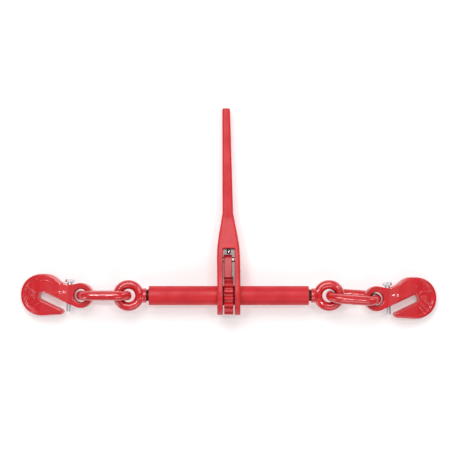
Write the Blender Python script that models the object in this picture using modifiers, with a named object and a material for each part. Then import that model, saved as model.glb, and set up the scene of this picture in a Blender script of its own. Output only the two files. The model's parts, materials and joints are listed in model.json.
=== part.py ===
"""A ratchet load binder: a barrel turned by a ratchet lever draws in two opposite-hand eye bolts,
each of which carries a chain link and a grab hook with a lock bolt.

Frame: the origin is on the barrel's axis in the middle of the ratchet gear. +X runs along the
barrel, +Y towards the lever's grip, +Z up. The binder lies closed on a flat surface.
Named sizes are in millimetres and degrees."""

from math import acos, asin, atan2, cos, degrees, hypot, pi, radians, sin

import bmesh
import bpy
from mathutils import Matrix, Vector

MM = 0.001

# Clearances
TOUCH_GAP = 0.3  # between pieces that bear on each other
ROUND_STEP = 12.0  # degrees of arc between outline points
END_CHAMFER = 0.8  # on the ends of turned pieces

# Barrel
BARREL_LENGTH = 254.0
THREAD_RADIUS = 10.7  # crest radius of the eye bolts' rolled thread
NUT_ZONE = 30.0  # threaded length at each end of the barrel
RELIEF_DEPTH = 0.9  # of the bore between the threads, below their crests
BARREL_WALL = 3.35  # wall around the relieved bore

# Ratchet gear
GEAR_TEETH = 16
GEAR_TIP_RADIUS = 30.6
GEAR_ROOT_RADIUS = 25.0
GEAR_WIDTH = 14.6
TOOTH_CREST_HALF_ANGLE = 3.3
TOOTH_ROOT_HALF_ANGLE = 7.0
CREST_ROUND = 0.7
KEY_WIDTH = 5.0
KEY_HEIGHT = 4.4
KEY_LENGTH = 12.0

# Lever
LEVER_LEAN = 0.9  # degrees that the lever leans towards -X
LEVER_LENGTH = 298.0  # barrel axis to tip
EAR_OVERHANG = 0.4  # the ears' rims beyond the gear's teeth
YOKE_WIDTH = 36.7
YOKE_SLOT_WIDTH = 18.6
YOKE_SLOT_HEADROOM = 9.0  # pawl's boss to the top of the slot
YOKE_DEPTH_RATE = 0.149  # loss of half depth per mm along the lever, from the ears to the neck
NECK_END = 131.0  # where the yoke's flare meets the lever's shank
NECK_WIDTH = 17.0
# Share of the way from the pawl's pin to the neck, and of the width lost by there
FLARE = ((0, 0), (0.22, 0.06), (0.32, 0.13), (0.53, 0.37), (0.74, 0.66), (0.88, 0.85), (1, 1))
EAR_STATIONS = (175, 165, 152, 138, 124, 110, 97)  # degrees round the ears' rims
TIP_ROUND = 1.5
TIP_WIDTH = 12.4
SHANK_DEPTH = 25.0
TIP_DEPTH = 21.0

# Pawl, its pin and its detent
PIN_ABOVE_GEAR = 26.4  # gear tips to the pin's centre
PAWL_THICKNESS = 13.2
PAWL_OFFSET = -1.5  # centre of the pawl's thickness along X
PAWL_BOSS_RADIUS = 8.0
CLAW_SPREAD = 30.27  # each claw's angle at the gear's axis, from the line to the pin
CLAW_REST_GAP = 1.2  # gear tips to the claws' tips with the pawl in the middle
CLAW_TIP_RADIUS = 1.3
CLAW_LENGTH = 7.2  # claw's tip to the notch at its root
CLAW_NOTCH_RADIUS = 0.8
PAWL_UNDERSIDE_GAP = 4.6  # gear tips to the pawl's hollow side
PIN_RADIUS = 4.0
PIN_HEAD_SETBACK = 0.6  # the pin's ends lie this far inside the yoke's faces
PLUNGER_RADIUS = 3.0
PLUNGER_LENGTH = 20.0
PLUNGER_BORE_DEPTH = 32.0
SPRING_WIRE_RADIUS = 0.45
SPRING_RADIUS = 2.1
SPRING_TURNS = 7

# Eye bolts, one right-hand and one left-hand
RING_SECTION_RADIUS = 7.2
RING_PLAY = 2.8  # all round the link's wire in the ring
COLLAR_STEP = 1.3  # collar beyond the thread
COLLAR_GAP = 3.6  # barrel end to collar, closed
COLLAR_TO_RING = 28.6  # collar's face to the ring's centre
SPINDLE_END = 20.0  # barrel's middle to the thread's inner end, closed
STUB_RADIUS = 6.0
STUB_LENGTH = 10.0
STOP_WASHER_THICKNESS = 3.0
STOP_WASHER_OVERLAP = 0.5  # the washer's rim beyond the barrel's thread
CLIP_THICKNESS = 1.2
CLIP_RADIUS = 8.2
CLIP_GROOVE_DEPTH = 1.1
CLIP_MOUTH = 70.0  # degrees

# Chain links
LINK_WIRE_RADIUS = 7.6
LINK_WINDOW = 21.4  # clear width between the legs
LINK_BAR_SPACING = 74.0
LINK_SLACK = 2.0  # ring's centre to the bar inside it

# Grab hooks: x runs outward from the eye, y towards the lock bolt's head
EYE_PLAY = 2.9  # all round the link's wire in the eye
EYE_WALL = 9.4
EYE_CHAMFER = 1.7
EYE_THICKNESS = 14.0
HOOK_THICKNESS = 19.0
HOOK_RIM_THICKNESS = 13.0
THICK_TO = 0.45  # share of the body's radius that keeps the full thickness
HOOK_EDGE_ROUND = 2.6
BODY_CENTRE = (64.6, 0.8)
BODY_RADIUS = 33.2
SHOULDER_CENTRE = (56.0, 10.0)
SHOULDER_RADIUS = 23.9
NECK_FILLET = 32.0
SLOT_ANGLE = 24.6
SLOT_WIDTH = 12.2
SLOT_BELOW_EYE = 0.5  # the slot's upper wall below the eye's lowest line
SLOT_END = 66.8
SLOT_CORNER_RADIUS = 4.3
NOSE_RADIUS = 4.6
NOSE_X = 33.2

# Lock bolts
BOLT_RADIUS = 3.95
BOLT_HOLE_CLEARANCE = 0.35
BOLT_LENGTH = 47.0  # under the head
BOLT_HEAD_FLATS = 13.0
BOLT_HEAD_HEIGHT = 5.3
BOLT_X = 18.6  # where its axis meets the top of the hook's neck
BOLT_TILT = 3.0
BOLT_STAND_OFF = 3.4  # top of the neck to the underside of the head

# How the loose ends lie on the ground
LINK_ROLL = {"left": 0.0, "right": 13.0}
LINK_YAW = {"left": 0.0, "right": -4.0}
HOOK_YAW = {"left": 0.0, "right": 0.0}
EYE_SHIFT = {"left": 0.4, "right": 0.6}  # eye's centre inward of the link's outer bar
EYE_RIDE = 0.6  # eye's wall above the middle of the link's window

# Sizes that follow
NUT_RADIUS = THREAD_RADIUS + TOUCH_GAP
RELIEF_RADIUS = NUT_RADIUS + RELIEF_DEPTH
BARREL_RADIUS = RELIEF_RADIUS + BARREL_WALL
YOKE_BORE_RADIUS = BARREL_RADIUS + TOUCH_GAP
EAR_RADIUS = GEAR_TIP_RADIUS + EAR_OVERHANG
GROUND = -EAR_RADIUS
LEVER_DROP = degrees(asin((EAR_RADIUS - TIP_DEPTH / 2 - TOUCH_GAP) / LEVER_LENGTH))
PAWL_PIVOT = GEAR_TIP_RADIUS + PIN_ABOVE_GEAR
YOKE_SLOT_TOP = PAWL_PIVOT + PAWL_BOSS_RADIUS + YOKE_SLOT_HEADROOM
CLAW_TIP_PLACE = GEAR_TIP_RADIUS + CLAW_REST_GAP
CLAW_DROP = PAWL_PIVOT - CLAW_TIP_PLACE * cos(radians(CLAW_SPREAD))
CLAW_ASIDE = CLAW_TIP_PLACE * sin(radians(CLAW_SPREAD))
PAWL_ARM_ANGLE = degrees(atan2(CLAW_ASIDE, CLAW_DROP))
PAWL_REACH = hypot(CLAW_ASIDE, CLAW_DROP)
COLLAR_FACE = BARREL_LENGTH / 2 + COLLAR_GAP
COLLAR_RADIUS = THREAD_RADIUS + COLLAR_STEP
RING_RADIUS = LINK_WIRE_RADIUS + RING_PLAY + RING_SECTION_RADIUS
RING_CENTRE = COLLAR_FACE + COLLAR_TO_RING
LINK_LEG_SPACING = LINK_WINDOW + 2 * LINK_WIRE_RADIUS
LINK_SADDLE = RING_RADIUS - LINK_SLACK  # inner bar to the ring's section in the window
EYE_HOLE_RADIUS = LINK_WIRE_RADIUS + EYE_PLAY
EYE_RADIUS = EYE_HOLE_RADIUS + EYE_WALL
EYE_WALL_MIDDLE = EYE_HOLE_RADIUS + EYE_WALL / 2

RED_PAINT = (0.62, 0.012, 0.022)
DARK_STEEL = (0.09, 0.08, 0.08)
BRIGHT_STEEL = (0.62, 0.62, 0.60)
ZINC = (0.72, 0.74, 0.76)


# --- Scene and materials ---------------------------------------------------------------------


def clear_scene():
    for thing in list(bpy.data.objects):
        bpy.data.objects.remove(thing, do_unlink=True)
    for old in list(bpy.data.collections):
        bpy.data.collections.remove(old)


def new_collection(name):
    made = bpy.data.collections.new(name)
    bpy.context.scene.collection.children.link(made)
    return made


def new_material(name, colour, roughness, metallic):
    made = bpy.data.materials.new(name)
    made.use_nodes = True
    shader = made.node_tree.nodes["Principled BSDF"]
    shader.inputs["Base Color"].default_value = (*colour, 1.0)
    shader.inputs["Roughness"].default_value = roughness
    shader.inputs["Metallic"].default_value = metallic
    return made


def red_paint(name):
    return new_material(name, RED_PAINT, 0.35, 0.0)


def steel(name, colour=BRIGHT_STEEL, roughness=0.3):
    return new_material(name, colour, roughness, 1.0)


def add_axis(name, matrix, parent=None):
    """An empty on a joint's axis, which the moving pieces hang on."""
    empty = bpy.data.objects.new(name, None)
    empty.empty_display_size = 20 * MM
    parts.objects.link(empty)
    empty.parent = parent
    empty.matrix_local = matrix
    return empty


def place(name, mesh, paint, parent=None, matrix=None):
    """The object of a finished sub-part."""
    mesh.materials.clear()
    mesh.materials.append(paint)
    mesh.shade_smooth()
    mesh.set_sharp_from_angle(angle=radians(35))
    piece = bpy.data.objects.new(name, mesh)
    parts.objects.link(piece)
    piece.parent = parent
    piece.matrix_local = matrix or Matrix()
    return piece


def combine(piece, mesh, operation="DIFFERENCE", matrix=None):
    """Cuts the mesh from the piece, or joins it on, with an exact Boolean."""
    tool = bpy.data.objects.new(f"{piece.name}_{operation.lower()}", mesh)
    cutters.objects.link(tool)
    tool.hide_render = True
    tool.display_type = "WIRE"
    tool.parent = piece
    tool.matrix_local = matrix or Matrix()
    change = piece.modifiers.new(operation.title(), "BOOLEAN")
    change.operation = operation
    change.solver = "EXACT"
    change.object = tool


# --- Placing ---------------------------------------------------------------------------------


def moved(x=0.0, y=0.0, z=0.0):
    return Matrix.Translation((x * MM, y * MM, z * MM))


def turned_about(axis, angle):
    return Matrix.Rotation(radians(angle), 4, axis)


# Stands an outline drawn in XY upright in the YZ plane, with its thickness along X.
SIDEWAYS = Matrix(((0, 0, 1, 0), (1, 0, 0, 0), (0, 1, 0, 0), (0, 0, 0, 1)))


def along(axis):
    """Turns a piece made along Z so that it runs along the axis."""
    return {
        "X": turned_about("Y", 90),
        "Y": turned_about("X", -90),
        "Z": Matrix(),
    }[axis]


# --- Meshes ----------------------------------------------------------------------------------


def mesh_of(curve_or_object):
    """The evaluated mesh of a helper object, welded, with its faces turned outward."""
    bpy.context.scene.collection.objects.link(curve_or_object)
    graph = bpy.context.evaluated_depsgraph_get()
    mesh = bpy.data.meshes.new_from_object(curve_or_object.evaluated_get(graph))
    bpy.data.objects.remove(curve_or_object)
    return cleaned(mesh)


def cleaned(mesh):
    work = bmesh.new()
    work.from_mesh(mesh)
    bmesh.ops.remove_doubles(work, verts=work.verts, dist=0.002 * MM)
    bmesh.ops.dissolve_degenerate(work, dist=0.001 * MM, edges=work.edges)
    bmesh.ops.recalc_face_normals(work, faces=work.faces)
    work.to_mesh(mesh)
    work.free()
    return mesh


def plate(outline, thickness, edge_round=0.0, matrix=None):
    """A flat outline in XY made this thick along Z, centred, with rounded rims."""
    curve = bpy.data.curves.new("outline", "CURVE")
    curve.dimensions = "2D"
    curve.fill_mode = "BOTH"
    curve.extrude = (thickness / 2 - edge_round) * MM
    curve.bevel_depth = edge_round * MM
    curve.bevel_resolution = 1
    curve.offset = -edge_round * MM
    line = curve.splines.new("POLY")
    line.points.add(len(outline) - 1)
    for point, (x, y) in zip(line.points, outline):
        point.co = (x * MM, y * MM, 0, 1)
    line.use_cyclic_u = True
    mesh = mesh_of(bpy.data.objects.new("outline", curve))
    if matrix:
        mesh.transform(matrix)
    return mesh


def wire(points, radius, closed=False, rings=3, matrix=None):
    """A round wire along the points."""
    curve = bpy.data.curves.new("wire", "CURVE")
    curve.dimensions = "3D"
    curve.bevel_depth = radius * MM
    curve.bevel_resolution = rings
    curve.use_fill_caps = True
    line = curve.splines.new("POLY")
    line.points.add(len(points) - 1)
    for point, where in zip(line.points, points):
        point.co = (*[size * MM for size in where], 1)
    line.use_cyclic_u = closed
    mesh = mesh_of(bpy.data.objects.new("wire", curve))
    if matrix:
        mesh.transform(matrix)
    return mesh


def turning(profile, steps=32, matrix=None):
    """A turned piece about Z. The profile holds (radius, height) points, top to bottom."""
    mesh = bpy.data.meshes.new("profile")
    edges = [(i, i + 1) for i in range(len(profile) - 1)]
    mesh.from_pydata([(r * MM, 0, h * MM) for r, h in profile], edges, [])
    holder = bpy.data.objects.new("profile", mesh)
    screw = holder.modifiers.new("Turn", "SCREW")
    screw.axis = "Z"
    screw.steps = steps
    screw.render_steps = steps
    screw.use_merge_vertices = True
    screw.merge_threshold = 0.00001
    made = mesh_of(holder)
    if matrix:
        made.transform(matrix)
    return made


def rod(radius, low, high, steps=32, axis="X", chamfer=0.0):
    """A solid round bar from low to high along the axis."""
    rim = radius - chamfer
    profile = [(0, high), (rim, high), (radius, high - chamfer)]
    profile += [(radius, low + chamfer), (rim, low), (0, low)]
    if not chamfer:
        profile = [(0, high), (radius, high), (radius, low), (0, low)]
    return turning(profile, steps, along(axis))


def sleeve(inner, outer, low, high, steps=32, axis="X"):
    """A hollow round bar from low to high along the axis."""
    profile = [(inner, high), (outer, high), (outer, low), (inner, low), (inner, high)]
    return turning(profile, steps, along(axis))


def block(low, high):
    """A box between two corners."""
    work = bmesh.new()
    bmesh.ops.create_cube(work, size=1.0)
    size = [(b - a) * MM for a, b in zip(low, high)]
    centre = [(a + b) / 2 * MM for a, b in zip(low, high)]
    bmesh.ops.scale(work, vec=size, verts=work.verts)
    bmesh.ops.translate(work, vec=centre, verts=work.verts)
    mesh = bpy.data.meshes.new("block")
    work.to_mesh(mesh)
    work.free()
    return mesh


# --- Outlines --------------------------------------------------------------------------------


def arc(centre, radius, start, end):
    """Points from one angle to another in degrees, both ends included."""
    steps = max(1, round(abs(end - start) / ROUND_STEP))
    return [
        (
            centre[0] + radius * cos(radians(start + (end - start) * i / steps)),
            centre[1] + radius * sin(radians(start + (end - start) * i / steps)),
        )
        for i in range(steps + 1)
    ]


def belt(circles):
    """An outline that runs round circles like a belt, joined by their common tangents.

    Each circle is (x, y, radius). It runs counter-clockwise round a positive radius and
    clockwise round a negative one, which makes a hollow."""
    normals = []
    for i, (x0, y0, r0) in enumerate(circles):
        x1, y1, r1 = circles[(i + 1) % len(circles)]
        span = hypot(x1 - x0, y1 - y0)
        swing = acos(max(-1.0, min(1.0, (r0 - r1) / span)))
        normals.append(degrees(atan2(y1 - y0, x1 - x0) - swing))
    outline = []
    for i, (x, y, radius) in enumerate(circles):
        start, end = normals[i - 1], normals[i]
        turn = (end - start) % 360
        if radius < 0:
            turn -= 360
        turn = 0 if abs(abs(turn) - 360) < 0.01 else turn
        outline += arc((x, y), radius, start, start + turn)
    return outline


def fillet_circle(first, second, radius):
    """The hollow circle that joins two circles on the left of the way from first to second."""
    x0, y0, r0 = first
    x1, y1, r1 = second
    span = hypot(x1 - x0, y1 - y0)
    reach0, reach1 = r0 + radius, r1 + radius
    run = (reach0**2 - reach1**2 + span**2) / (2 * span)
    rise = (reach0**2 - run**2) ** 0.5
    ux, uy = (x1 - x0) / span, (y1 - y0) / span
    return (x0 + run * ux - rise * uy, y0 + run * uy + rise * ux, -radius)


# --- Barrel and gear -------------------------------------------------------------------------


def make_barrel():
    """A thick tube, threaded at its two ends and relieved between them, with a keyway."""
    half = BARREL_LENGTH / 2
    relief = half - NUT_ZONE
    profile = [
        (NUT_RADIUS, half),
        (BARREL_RADIUS - END_CHAMFER, half),
        (BARREL_RADIUS, half - END_CHAMFER),
        (BARREL_RADIUS, END_CHAMFER - half),
        (BARREL_RADIUS - END_CHAMFER, -half),
        (NUT_RADIUS, -half),
        (NUT_RADIUS, -relief),
        (RELIEF_RADIUS, -relief + 1.0),
        (RELIEF_RADIUS, relief - 1.0),
        (NUT_RADIUS, relief),
        (NUT_RADIUS, half),
    ]
    barrel = place("barrel", turning(profile, 40, along("X")), red_paint("barrel_paint"))
    combine(barrel, key_space(TOUCH_GAP))


def key_space(gap):
    """The key's box, or its seat when a gap is added all round."""
    low = BARREL_RADIUS - KEY_HEIGHT / 2
    return block(
        (-KEY_LENGTH / 2 - gap, -KEY_WIDTH / 2 - gap, low - gap),
        (KEY_LENGTH / 2 + gap, KEY_WIDTH / 2 + gap, low + KEY_HEIGHT + gap),
    )


def make_ratchet_gear():
    """A gear of rounded trapezoid teeth, with a gap between two of them on the lever's line."""
    pitch = 360 / GEAR_TEETH
    outline = []
    for tooth in range(GEAR_TEETH):
        middle = (tooth + 0.5) * pitch
        for radius, angle in (
            (GEAR_ROOT_RADIUS, -TOOTH_ROOT_HALF_ANGLE),
            (GEAR_TIP_RADIUS - CREST_ROUND, -TOOTH_CREST_HALF_ANGLE),
            (GEAR_TIP_RADIUS, -TOOTH_CREST_HALF_ANGLE / 2),
            (GEAR_TIP_RADIUS, TOOTH_CREST_HALF_ANGLE / 2),
            (GEAR_TIP_RADIUS - CREST_ROUND, TOOTH_CREST_HALF_ANGLE),
            (GEAR_ROOT_RADIUS, TOOTH_ROOT_HALF_ANGLE),
        ):
            place_angle = radians(middle + angle)
            outline.append((radius * cos(place_angle), radius * sin(place_angle)))
    tilt = turned_about("X", -LEVER_DROP)
    mesh = plate(outline, GEAR_WIDTH, 0.8, tilt @ SIDEWAYS)
    gear = place("ratchet_gear", mesh, red_paint("gear_paint"))
    combine(gear, rod(BARREL_RADIUS + TOUCH_GAP, -GEAR_WIDTH, GEAR_WIDTH, 40))
    combine(gear, key_space(TOUCH_GAP))


def make_gear_key():
    place("gear_key", key_space(0.0), steel("key_steel"))


# --- Lever -----------------------------------------------------------------------------------


def flare_stations():
    """Places from the pawl's pin to the neck, each with the lever's width there."""
    run, loss = NECK_END - PAWL_PIVOT, YOKE_WIDTH - NECK_WIDTH
    return [(PAWL_PIVOT + run * way, YOKE_WIDTH - loss * share) for way, share in FLARE]


def lever_width(y):
    """The lever's width along X at this distance from the barrel's axis."""
    if y <= PAWL_PIVOT:
        return YOKE_WIDTH
    stations = flare_stations() + [(LEVER_LENGTH, TIP_WIDTH)]
    for (y0, w0), (y1, w1) in zip(stations, stations[1:]):
        if y <= y1:
            return w0 + (w1 - w0) * (y - y0) / (y1 - y0)
    return TIP_WIDTH


def lever_depth(y):
    """The lever's depth along Z at this distance from the barrel's axis."""
    if y < EAR_RADIUS * YOKE_DEPTH_RATE:
        return 2 * max(EAR_RADIUS**2 - y**2, 0) ** 0.5
    yoke = 2 * (EAR_RADIUS * (1 + YOKE_DEPTH_RATE**2) ** 0.5 - YOKE_DEPTH_RATE * y)
    share = (y - NECK_END) / (LEVER_LENGTH - NECK_END)
    shank = SHANK_DEPTH + (TIP_DEPTH - SHANK_DEPTH) * share
    return max(yoke, shank)


def lever_centre(y):
    """How far the lever's middle leans along X at this distance from the barrel's axis."""
    return -max(0.0, y - EAR_RADIUS) * sin(radians(LEVER_LEAN))


def loft(sections):
    """A solid through rings of equal length, closed with a flat face at each end."""
    work = bmesh.new()
    rings = [[work.verts.new([s * MM for s in p]) for p in ring] for ring in sections]
    for low, high in zip(rings, rings[1:]):
        for i in range(len(low)):
            j = (i + 1) % len(low)
            work.faces.new((low[i], low[j], high[j], high[i]))
    work.faces.new(rings[0][::-1])
    work.faces.new(rings[-1])
    mesh = bpy.data.meshes.new("loft")
    work.to_mesh(mesh)
    work.free()
    return cleaned(mesh)


def lever_section(y):
    """A ring of points round the lever: a rectangle with rounded corners."""
    width, depth = lever_width(y), lever_depth(y)
    corner = min(3.0, depth * 0.3)
    ring = []
    for side_x, side_z, start in ((1, 1, 0), (-1, 1, 90), (-1, -1, 180), (1, -1, 270)):
        x = lever_centre(y) + side_x * (width / 2 - corner)
        z = side_z * (depth / 2 - corner)
        ring += [
            (x + corner * cos(radians(a)), y, z + corner * sin(radians(a)))
            for a in (start, start + 45, start + 90)
        ]
    return ring


def make_handle():
    """A forged lever whose yoke straddles the gear and turns on the barrel."""
    ears = [EAR_RADIUS * cos(radians(a)) for a in EAR_STATIONS]
    ears.append(EAR_RADIUS * YOKE_DEPTH_RATE)
    yoke = [PAWL_PIVOT * share for share in (0.35, 0.7)]
    flare = [y for y, _ in flare_stations()]
    shank = [NECK_END + (LEVER_LENGTH - NECK_END) * share for share in (0.35, 0.7)]
    stations = ears + yoke + flare + shank + [LEVER_LENGTH - TIP_ROUND]
    sections = [lever_section(y) for y in stations]
    sections.append(
        [
            (lever_centre(y) + (x - lever_centre(y)) * 0.86, LEVER_LENGTH, z * 0.88)
            for x, y, z in sections[-1]
        ]
    )
    handle = place("handle", loft(sections), red_paint("handle_paint"), handle_axis)
    slot_half = YOKE_SLOT_WIDTH / 2
    depth = 2 * EAR_RADIUS
    slot = block((-slot_half, -depth, -depth), (slot_half, YOKE_SLOT_TOP, depth))
    combine(handle, slot)
    combine(handle, rod(YOKE_BORE_RADIUS, -YOKE_WIDTH, YOKE_WIDTH, 40))
    pin_hole = rod(PIN_RADIUS + TOUCH_GAP, -YOKE_WIDTH, YOKE_WIDTH, 24)
    combine(handle, pin_hole, matrix=moved(y=PAWL_PIVOT))
    bore_radius = PLUNGER_RADIUS + TOUCH_GAP
    bore_end = YOKE_SLOT_TOP + PLUNGER_BORE_DEPTH
    bore = rod(bore_radius, YOKE_SLOT_TOP - 5, bore_end, 24, "Y")
    combine(handle, bore)


# --- Pawl, pin and detent --------------------------------------------------------------------


def from_pivot(angle, reach):
    """A point in the lever's side view, by its angle and distance from the pawl's pin."""
    return (-reach * cos(radians(angle)), reach * sin(radians(angle)))


def make_pawl():
    """A two-armed pawl: either claw drops between the gear's teeth, for in or out."""
    tip = from_pivot(PAWL_ARM_ANGLE, PAWL_REACH - CLAW_TIP_RADIUS)
    root_reach = PAWL_REACH - CLAW_LENGTH
    inset = degrees(asin((CLAW_TIP_RADIUS + CLAW_NOTCH_RADIUS) / root_reach))
    root = from_pivot(PAWL_ARM_ANGLE - inset, root_reach)
    hollow = GEAR_TIP_RADIUS + PAWL_UNDERSIDE_GAP
    outline = belt(
        [
            (0, 0, PAWL_BOSS_RADIUS),
            (tip[0], tip[1], CLAW_TIP_RADIUS),
            (root[0], root[1], -CLAW_NOTCH_RADIUS),
            (-PAWL_PIVOT, 0, -hollow),
            (root[0], -root[1], -CLAW_NOTCH_RADIUS),
            (tip[0], -tip[1], CLAW_TIP_RADIUS),
        ]
    )
    mesh = plate(outline, PAWL_THICKNESS, 0.6, moved(x=PAWL_OFFSET) @ SIDEWAYS)
    pawl = place("pawl", mesh, red_paint("pawl_paint"), pawl_axis)
    hole = rod(PIN_RADIUS + TOUCH_GAP, -PAWL_THICKNESS, PAWL_THICKNESS, 24)
    combine(pawl, hole)


def make_pawl_pin():
    half = YOKE_WIDTH / 2 - PIN_HEAD_SETBACK
    mesh = rod(PIN_RADIUS, -half, half, 24, chamfer=0.6)
    place("pawl_pin", mesh, steel("pin_steel"), handle_axis, moved(y=PAWL_PIVOT))


def make_detent():
    """A round-nosed plunger that a spring in the lever's neck presses towards the pawl."""
    nose = PAWL_PIVOT + PAWL_BOSS_RADIUS + TOUCH_GAP
    top = nose + PLUNGER_LENGTH
    profile = [(0, top), (PLUNGER_RADIUS, top), (PLUNGER_RADIUS, nose + PLUNGER_RADIUS)]
    for angle in (-30, -60):
        reach = PLUNGER_RADIUS * cos(radians(angle))
        profile.append((reach, nose + PLUNGER_RADIUS * (1 + sin(radians(angle)))))
    profile.append((0, nose))
    plunger = turning(profile, 24, along("Y"))
    place("detent_plunger", plunger, steel("plunger_steel"), handle_axis)
    low = top + TOUCH_GAP + SPRING_WIRE_RADIUS
    bore_end = YOKE_SLOT_TOP + PLUNGER_BORE_DEPTH
    high = bore_end - TOUCH_GAP - SPRING_WIRE_RADIUS
    steps_per_turn = 10
    count = SPRING_TURNS * steps_per_turn
    coil = []
    for i in range(count + 1):
        angle = 2 * pi * i / steps_per_turn
        y = low + (high - low) * i / count
        coil.append((SPRING_RADIUS * cos(angle), y, SPRING_RADIUS * sin(angle)))
    spring = wire(coil, SPRING_WIRE_RADIUS, rings=1)
    place("detent_spring", spring, steel("spring_steel"), handle_axis)


# --- Eye bolts -------------------------------------------------------------------------------


def ring_points(centre, radius, count):
    """Points of a ring in the XY plane."""
    return [
        (centre + radius * cos(2 * pi * i / count), radius * sin(2 * pi * i / count), 0)
        for i in range(count)
    ]


def stop_places():
    """Inner and outer faces along X of the stop washer and of the clip, closed."""
    washer_out = SPINDLE_END - TOUCH_GAP
    washer_in = washer_out - STOP_WASHER_THICKNESS
    clip_out = washer_in - TOUCH_GAP
    return washer_in, washer_out, clip_out - CLIP_THICKNESS, clip_out


def make_eye_bolt(side, frame):
    """A forged ring on a collar and a threaded spindle, with a stub for its stop washer."""
    washer_in, washer_out, clip_in, clip_out = stop_places()
    stub_end = SPINDLE_END - STUB_LENGTH
    groove = STUB_RADIUS - CLIP_GROOVE_DEPTH
    neck_end = RING_CENTRE - RING_RADIUS + RING_SECTION_RADIUS * 0.3
    profile = [
        (0, neck_end),
        (RING_SECTION_RADIUS * 0.8, neck_end),
        (COLLAR_RADIUS - 1.2, neck_end - 5.2),
        (COLLAR_RADIUS, COLLAR_FACE + 2.6),
        (COLLAR_RADIUS, COLLAR_FACE + END_CHAMFER),
        (COLLAR_RADIUS - END_CHAMFER, COLLAR_FACE),
        (THREAD_RADIUS, COLLAR_FACE),
        (THREAD_RADIUS, SPINDLE_END + 1.2),
        (THREAD_RADIUS - 1.2, SPINDLE_END),
        (STUB_RADIUS, SPINDLE_END),
        (STUB_RADIUS, clip_out + TOUCH_GAP),
        (groove, clip_out + TOUCH_GAP),
        (groove, clip_in - TOUCH_GAP),
        (STUB_RADIUS, clip_in - TOUCH_GAP),
        (STUB_RADIUS, stub_end + END_CHAMFER),
        (STUB_RADIUS - END_CHAMFER, stub_end),
        (0, stub_end),
    ]
    mesh = turning(profile, 36, frame @ along("X"))
    bolt = place(f"{side}_eye_bolt", mesh, red_paint(f"{side}_eye_bolt_paint"))
    ring = wire(ring_points(RING_CENTRE, RING_RADIUS, 40), RING_SECTION_RADIUS, True, 4)
    ring.transform(frame)
    combine(bolt, ring, "UNION")


def make_stop_washer(side, frame):
    washer_in, washer_out, _, _ = stop_places()
    outer = NUT_RADIUS + STOP_WASHER_OVERLAP
    mesh = sleeve(STUB_RADIUS + TOUCH_GAP, outer, washer_in, washer_out, 32)
    mesh.transform(frame)
    place(f"{side}_stop_washer", mesh, steel(f"{side}_washer_steel"))


def make_stop_clip(side, frame):
    """An open ring in the stub's groove, which keeps the stop washer on."""
    _, _, clip_in, clip_out = stop_places()
    inner = STUB_RADIUS - CLIP_GROOVE_DEPTH + TOUCH_GAP
    outline = arc((0, 0), CLIP_RADIUS, CLIP_MOUTH / 2, 360 - CLIP_MOUTH / 2)
    outline += arc((0, 0), inner, 360 - CLIP_MOUTH / 2, CLIP_MOUTH / 2)
    middle = moved(x=(clip_in + clip_out) / 2)
    mesh = plate(outline, CLIP_THICKNESS, 0.0, frame @ middle @ SIDEWAYS)
    place(f"{side}_stop_clip", mesh, steel(f"{side}_clip_steel", DARK_STEEL, 0.4))


# --- Links -----------------------------------------------------------------------------------


def link_outer_height(side):
    """How high the middle of the link's outer end is when its lower leg rests on the ground."""
    roll = radians(LINK_ROLL[side])
    return GROUND + TOUCH_GAP + LINK_LEG_SPACING / 2 * cos(roll) + LINK_WIRE_RADIUS


def link_axes(side, frame):
    """The link's pivot in the ring, its outer bar, and the height of the eye's wall in its window.

    The link rides on the middle of the ring's section, and slopes down to the ground."""
    pitch = asin(-link_outer_height(side) / (LINK_BAR_SPACING - LINK_SADDLE))
    lie = Matrix.Rotation(pitch, 4, "Y") @ turned_about("X", LINK_ROLL[side])
    direction = 1 if side == "right" else -1
    inner = moved(x=direction * (RING_CENTRE + LINK_SLACK)) @ turned_about("Z", LINK_YAW[side])
    bar = inner @ frame @ moved(x=LINK_SADDLE) @ lie @ moved(x=-LINK_SADDLE)
    pivot = add_axis(f"{side}_link_axis", bar @ moved(x=LINK_LEG_SPACING / 2))
    outer = (bar @ moved(x=LINK_BAR_SPACING)).translation
    seat = (bar @ moved(x=LINK_BAR_SPACING - EYE_WALL_MIDDLE)).translation
    return pivot, outer, seat.z / MM + EYE_RIDE


def make_link(side, pivot):
    """A long welded link. Its two ends are half circles; it is drawn about its inner one."""
    half = LINK_LEG_SPACING / 2
    far = LINK_BAR_SPACING - LINK_LEG_SPACING
    count = 18
    path = []
    for centre, start in ((far, -90), (0, 90)):
        for i in range(count + 1):
            angle = radians(start + 180 * i / count)
            path.append((centre + half * cos(angle), 0, half * sin(angle)))
    mesh = wire(path, LINK_WIRE_RADIUS, True, 4)
    place(f"{side}_link", mesh, red_paint(f"{side}_link_paint"), pivot)


# --- Hooks -----------------------------------------------------------------------------------


def slot_line(offset, x):
    """The height at x of the line that runs along the slot, this far below the eye's centre."""
    slope = radians(SLOT_ANGLE)
    return (x * sin(slope) - offset) / cos(slope)


def hook_outline():
    """Counter-clockwise: eye, slot, nose, body, shoulder and the hollow of the neck."""
    slope = radians(SLOT_ANGLE)
    slot_top = EYE_RADIUS + SLOT_BELOW_EYE
    slot_low = slot_top + SLOT_WIDTH
    corner = SLOT_CORNER_RADIUS
    upper_x = SLOT_END - corner
    lower_x = upper_x + (SLOT_WIDTH - 2 * corner) * sin(slope)
    eye = (0, 0, EYE_RADIUS)
    shoulder = (*SHOULDER_CENTRE, SHOULDER_RADIUS)
    return belt(
        [
            eye,
            (upper_x, slot_line(slot_top + corner, upper_x), -corner),
            (lower_x, slot_line(slot_low - corner, lower_x), -corner),
            (NOSE_X, slot_line(slot_low + NOSE_RADIUS, NOSE_X), NOSE_RADIUS),
            (*BODY_CENTRE, BODY_RADIUS),
            shoulder,
            fillet_circle(eye, shoulder, NECK_FILLET),
        ]
    )


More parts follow.
